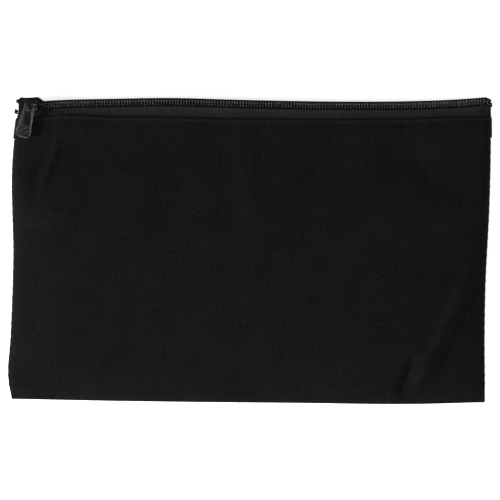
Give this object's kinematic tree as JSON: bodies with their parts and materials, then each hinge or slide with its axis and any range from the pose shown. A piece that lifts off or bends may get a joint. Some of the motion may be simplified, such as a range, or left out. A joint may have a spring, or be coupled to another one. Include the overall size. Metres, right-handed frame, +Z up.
{
  "type": "zip pencil case",
  "caption": "Flat black canvas pencil case with a coil zip along the top edge, a sliding zip slider and a swinging pull tab.",
  "frame": {"origin": "on the table under the middle of the case, which lies on its back panel", "axes": "+X along the zip towards its closed end, +Y from the bottom fold to the zip, +Z up from the table through the front panel"},
  "size_m": [0.2024, 0.1288, 0.0123],
  "materials": {
    "canvas": "matte plain-weave cotton canvas, black",
    "zip_tape": "woven polyester zip tape, black",
    "thread": "polyester sewing thread, black",
    "zip_coil": "satin nylon filament, black",
    "slider_metal": "black enamel on die-cast zinc, satin"
  },
  "bodies": {
    "pouch": {"front_panel": "canvas", "back_panel": "canvas", "left_seam_allowance": "canvas", "right_seam_allowance": "canvas", "left_overlock_thread": "thread", "right_overlock_thread": "thread", "left_seam_stitches": "thread", "right_seam_stitches": "thread", "front_topstitch": "thread", "back_topstitch": "thread", "back_zip_tape": "zip_tape", "back_coil": "zip_coil", "back_core_cord": "thread", "back_coil_stitching": "thread"},
    "zip_lip": {"front_zip_tape": "zip_tape", "front_coil": "zip_coil", "front_core_cord": "thread", "front_coil_stitching": "thread"},
    "zip_slider": {"slider_body": "slider_metal"},
    "zip_tab": {"pull_tab": "slider_metal"}
  },
  "joints": [
    {"name": "slider_slide", "type": "slide", "parent": "pouch", "child": "zip_slider", "axis": [1, 0, 0], "range_m": [0, 0.18], "deforming": ["back_coil", "back_core_cord", "back_coil_stitching", "front_coil", "front_core_cord", "front_coil_stitching", "front_zip_tape"]},
    {"name": "front_lip_open", "type": "slide", "parent": "pouch", "child": "zip_lip", "axis": [0, -1, 0], "range_m": [0, 0.0025]},
    {"name": "tab_swing", "type": "hinge", "parent": "zip_slider", "child": "zip_tab", "pos_m": [-0.0917, 0.0601, 0.01085], "axis": [0, 0, 1], "range_deg": [-150, 25]}
  ],
  "couplings": [
    {"joint": "front_lip_open", "follows": "slider_slide", "ratio": 0.013889}
  ]
}
